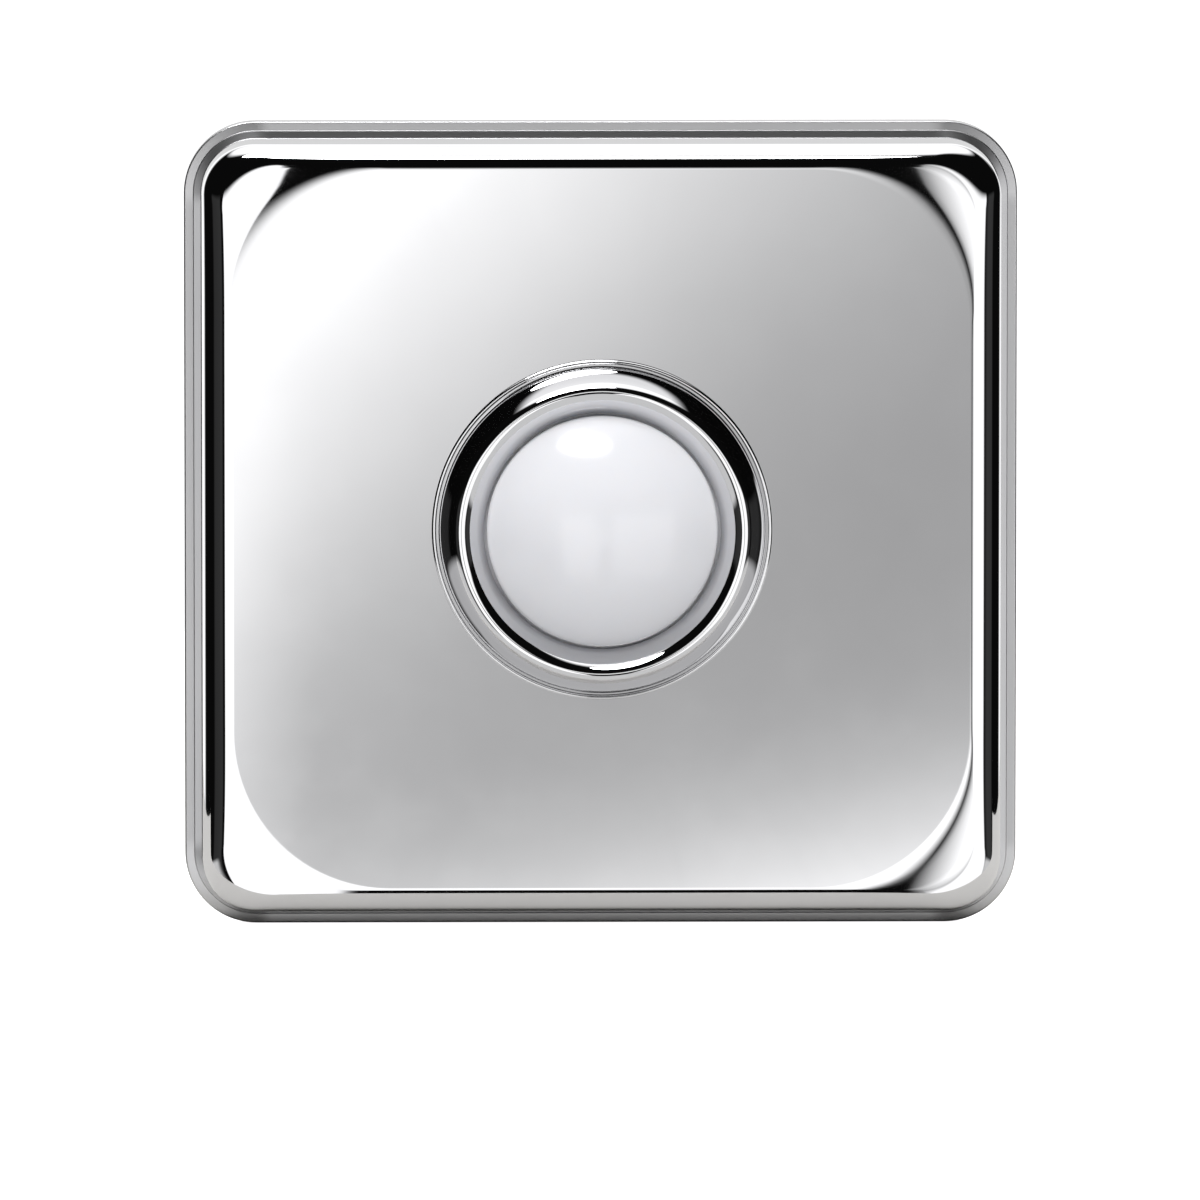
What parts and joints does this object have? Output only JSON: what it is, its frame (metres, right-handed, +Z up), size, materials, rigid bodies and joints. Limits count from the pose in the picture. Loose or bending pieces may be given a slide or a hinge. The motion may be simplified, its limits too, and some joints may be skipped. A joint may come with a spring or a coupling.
{
  "type": "doorbell push button",
  "caption": "Surface-mounted square doorbell push with a mirror-bright cover, round bezel and domed opal button over a moulded contact base.",
  "frame": {"origin": "centre of the base's back face, on the wall plane", "axes": "+Y into the wall, so the front faces -Y; +Z up; +X to the right as seen from the front"},
  "size_m": [0.065, 0.0129, 0.0628],
  "materials": {
    "chrome": "mirror-bright chrome plate",
    "opal": "glossy translucent opal acrylic",
    "black_moulding": "fine satin moulded plastic",
    "white_moulding": "satin white moulded plastic",
    "brass": "stamped brass, bright",
    "silver": "silver contact metal",
    "zinc_steel": "bright zinc-plated steel",
    "spring_steel": "drawn spring wire",
    "seal_rubber": "black rubber",
    "lamp_epoxy": "clear moulded lamp body",
    "board": "bonded paper circuit board",
    "chip": "glazed chip resistor",
    "tinned_wire": "tinned copper wire"
  },
  "bodies": {
    "base": {"cover_plate": "chrome", "bezel_ring": "chrome", "base_plate": "black_moulding", "contact_strip_left": "brass", "contact_strip_right": "brass", "strip_rivet_left": "brass", "strip_rivet_right": "brass", "contact_stud_left": "silver", "contact_stud_right": "silver", "terminal_screw_left": "zinc_steel", "terminal_screw_right": "zinc_steel", "clamp_washer_left": "zinc_steel", "clamp_washer_right": "zinc_steel", "bezel_washer": "zinc_steel", "bezel_nut": "zinc_steel", "return_spring": "spring_steel", "snap_ring": "spring_steel", "bezel_seal": "seal_rubber", "lamp": "lamp_epoxy", "lamp_board": "board", "lamp_resistor": "chip", "lamp_lead_left": "tinned_wire", "lamp_lead_right": "tinned_wire"},
    "button": {"push_button": "opal", "button_carrier": "white_moulding", "moving_contact": "brass"}
  },
  "joints": [
    {"name": "button_press", "type": "slide", "parent": "base", "child": "button", "axis": [0, 1, 0], "range_m": [0, 0.0015], "stiffness_N_per_m": 900, "springref_m": -0.0015, "deforming": ["return_spring"]}
  ]
}
